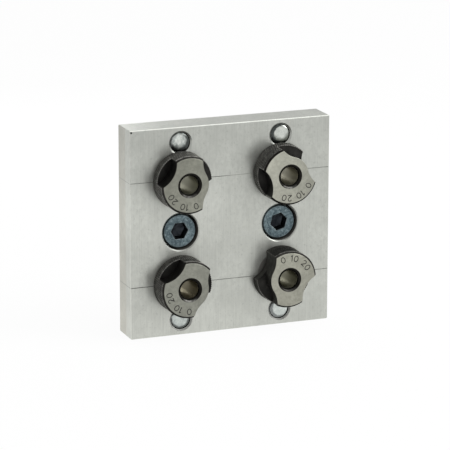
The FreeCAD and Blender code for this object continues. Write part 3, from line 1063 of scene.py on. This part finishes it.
# Tone, darker tone, mottling, lowest and highest roughness, and painted dark reflections of each pin
PIN_LOOKS = {
    "upper_left": ((0.66, 0.69, 0.65), (0.28, 0.31, 0.30), 1.0, (0.14, 0.26),
                   [(-0.5, 0.8, 2.4, 3.2, (0.055, 0.062, 0.06))]),
    "upper_right": ((0.60, 0.625, 0.58), (0.38, 0.40, 0.38), 0.6, (0.14, 0.22),
                    [(0.3, 1.3, 2.4, 3.5, (0.13, 0.14, 0.12)), (0.65, 0.2, 2.9, 3.2, (0.06, 0.067, 0.065))]),
    "lower_left": ((0.58, 0.62, 0.59), (0.36, 0.39, 0.38), 0.7, (0.22, 0.32),
                   [(-0.3, 0.35, 2.9, 3.4, (0.12, 0.13, 0.125))]),
    "lower_right": ((0.62, 0.66, 0.63), (0.38, 0.42, 0.40), 0.7, (0.20, 0.30),
                    [(0.5, 0.2, 2.7, 3.3, (0.21, 0.225, 0.22))]),
}
for where, looks in PIN_LOOKS.items():
    coat("locating_pin_" + where, pin_material("pin_" + where, *looks, axis_of("locating_pin_" + where)))
    coat("liner_bushing_" + where, ground_steel)


# Studio
def white_for_sight(tree, lit, white, share):
    """Mixes a lit look with plain white for what the camera, gloss and glass see of the background."""
    path = tree.nodes.new("ShaderNodeLightPath")
    seen = path.outputs["Is Camera Ray"]
    for name in ("Is Glossy Ray", "Is Transmission Ray"):
        either = tree.nodes.new("ShaderNodeMath")
        either.operation = "MAXIMUM"
        tree.links.new(seen, either.inputs[0])
        tree.links.new(path.outputs[name], either.inputs[1])
        seen = either.outputs["Value"]
    weight = tree.nodes.new("ShaderNodeMath")
    weight.operation = "MULTIPLY"
    tree.links.new(seen, weight.inputs[0])
    weight.inputs[1].default_value = share
    mix = tree.nodes.new("ShaderNodeMixShader")
    tree.links.new(weight.outputs["Value"], mix.inputs[0])
    tree.links.new(lit, mix.inputs[1])
    tree.links.new(white, mix.inputs[2])
    return mix.outputs[0]


def studio_floor():
    mesh = bpy.data.meshes.new("studio_floor")
    corners = [(x * FLOOR_HALF, y * FLOOR_HALF, PLATE_LOW.z) for x, y in ((-1, -1), (1, -1), (1, 1), (-1, 1))]
    mesh.from_pydata(corners, [], [(0, 1, 2, 3)])
    floor = add_object("studio_floor", mesh)
    material = bpy.data.materials.new("studio_floor")
    material.use_nodes = True
    tree = material.node_tree
    lit = tree.nodes["Principled BSDF"]
    lit.inputs["Base Color"].default_value = (0.86, 0.86, 0.86, 1)
    lit.inputs["Roughness"].default_value = 0.9
    lit.inputs["Specular IOR Level"].default_value = 0.1
    white = tree.nodes.new("ShaderNodeEmission")
    white.inputs["Strength"].default_value = 1.0
    look = white_for_sight(tree, lit.outputs[0], white.outputs[0], FLOOR_WHITE)
    tree.links.new(look, tree.nodes["Material Output"].inputs["Surface"])
    mesh.materials.append(material)


def studio_world():
    world = bpy.data.worlds.new("studio")
    bpy.context.scene.world = world
    world.use_nodes = True
    tree = world.node_tree
    lit = tree.nodes["Background"]
    lit.inputs["Color"].default_value = (1, 1, 1, 1)
    lit.inputs["Strength"].default_value = WORLD_LIGHT
    white = tree.nodes.new("ShaderNodeBackground")
    white.inputs["Strength"].default_value = 1.0
    look = white_for_sight(tree, lit.outputs[0], white.outputs[0], 1.0)
    tree.links.new(look, tree.nodes["World Output"].inputs["Surface"])


def lamp(name, place, target, size, power):
    light = bpy.data.lights.new(name, "AREA")
    light.shape = "RECTANGLE"
    light.size, light.size_y = size
    light.energy = power
    made = add_object(name, light)
    made.location = place
    made.rotation_euler = (Vector(target) - Vector(place)).to_track_quat("-Z", "Y").to_euler()
    made.visible_camera = False


studio_floor()
studio_world()
lamp("key_right", place=(0.95, -0.55, 0.55), target=(0, 0, 0), size=(0.7, 0.7), power=9.0)
lamp("overhead", place=(0.3, -0.25, 0.95), target=(0, 0, 0), size=(1.0, 0.9), power=3.0)
lamp("back_top", place=(0.02, 0.42, 0.14), target=(-0.03, 0, 0.04), size=(0.16, 0.10), power=0.20)


def make_camera():
    forward = Vector((
        math.sin(CAMERA_HEADING) * math.cos(CAMERA_ELEVATION),
        math.cos(CAMERA_HEADING) * math.cos(CAMERA_ELEVATION),
        math.sin(CAMERA_ELEVATION),
    ))
    level = Vector((math.cos(CAMERA_HEADING), -math.sin(CAMERA_HEADING), 0))
    upright = level.cross(forward)
    right = level * math.cos(CAMERA_ROLL) + upright * math.sin(CAMERA_ROLL)
    up = upright * math.cos(CAMERA_ROLL) - level * math.sin(CAMERA_ROLL)
    data = bpy.data.cameras.new("camera")
    data.lens = CAMERA_LENS_MM
    data.clip_start = 0.05
    data.clip_end = 20
    camera = add_object("camera", data)
    turn = Matrix((right, up, -forward)).transposed()
    camera.matrix_world = Matrix.Translation(Vector(CAMERA_PLACE_MM) * MM) @ turn.to_4x4()
    bpy.context.scene.camera = camera


make_camera()
bpy.context.scene.view_settings.view_transform = "Standard"
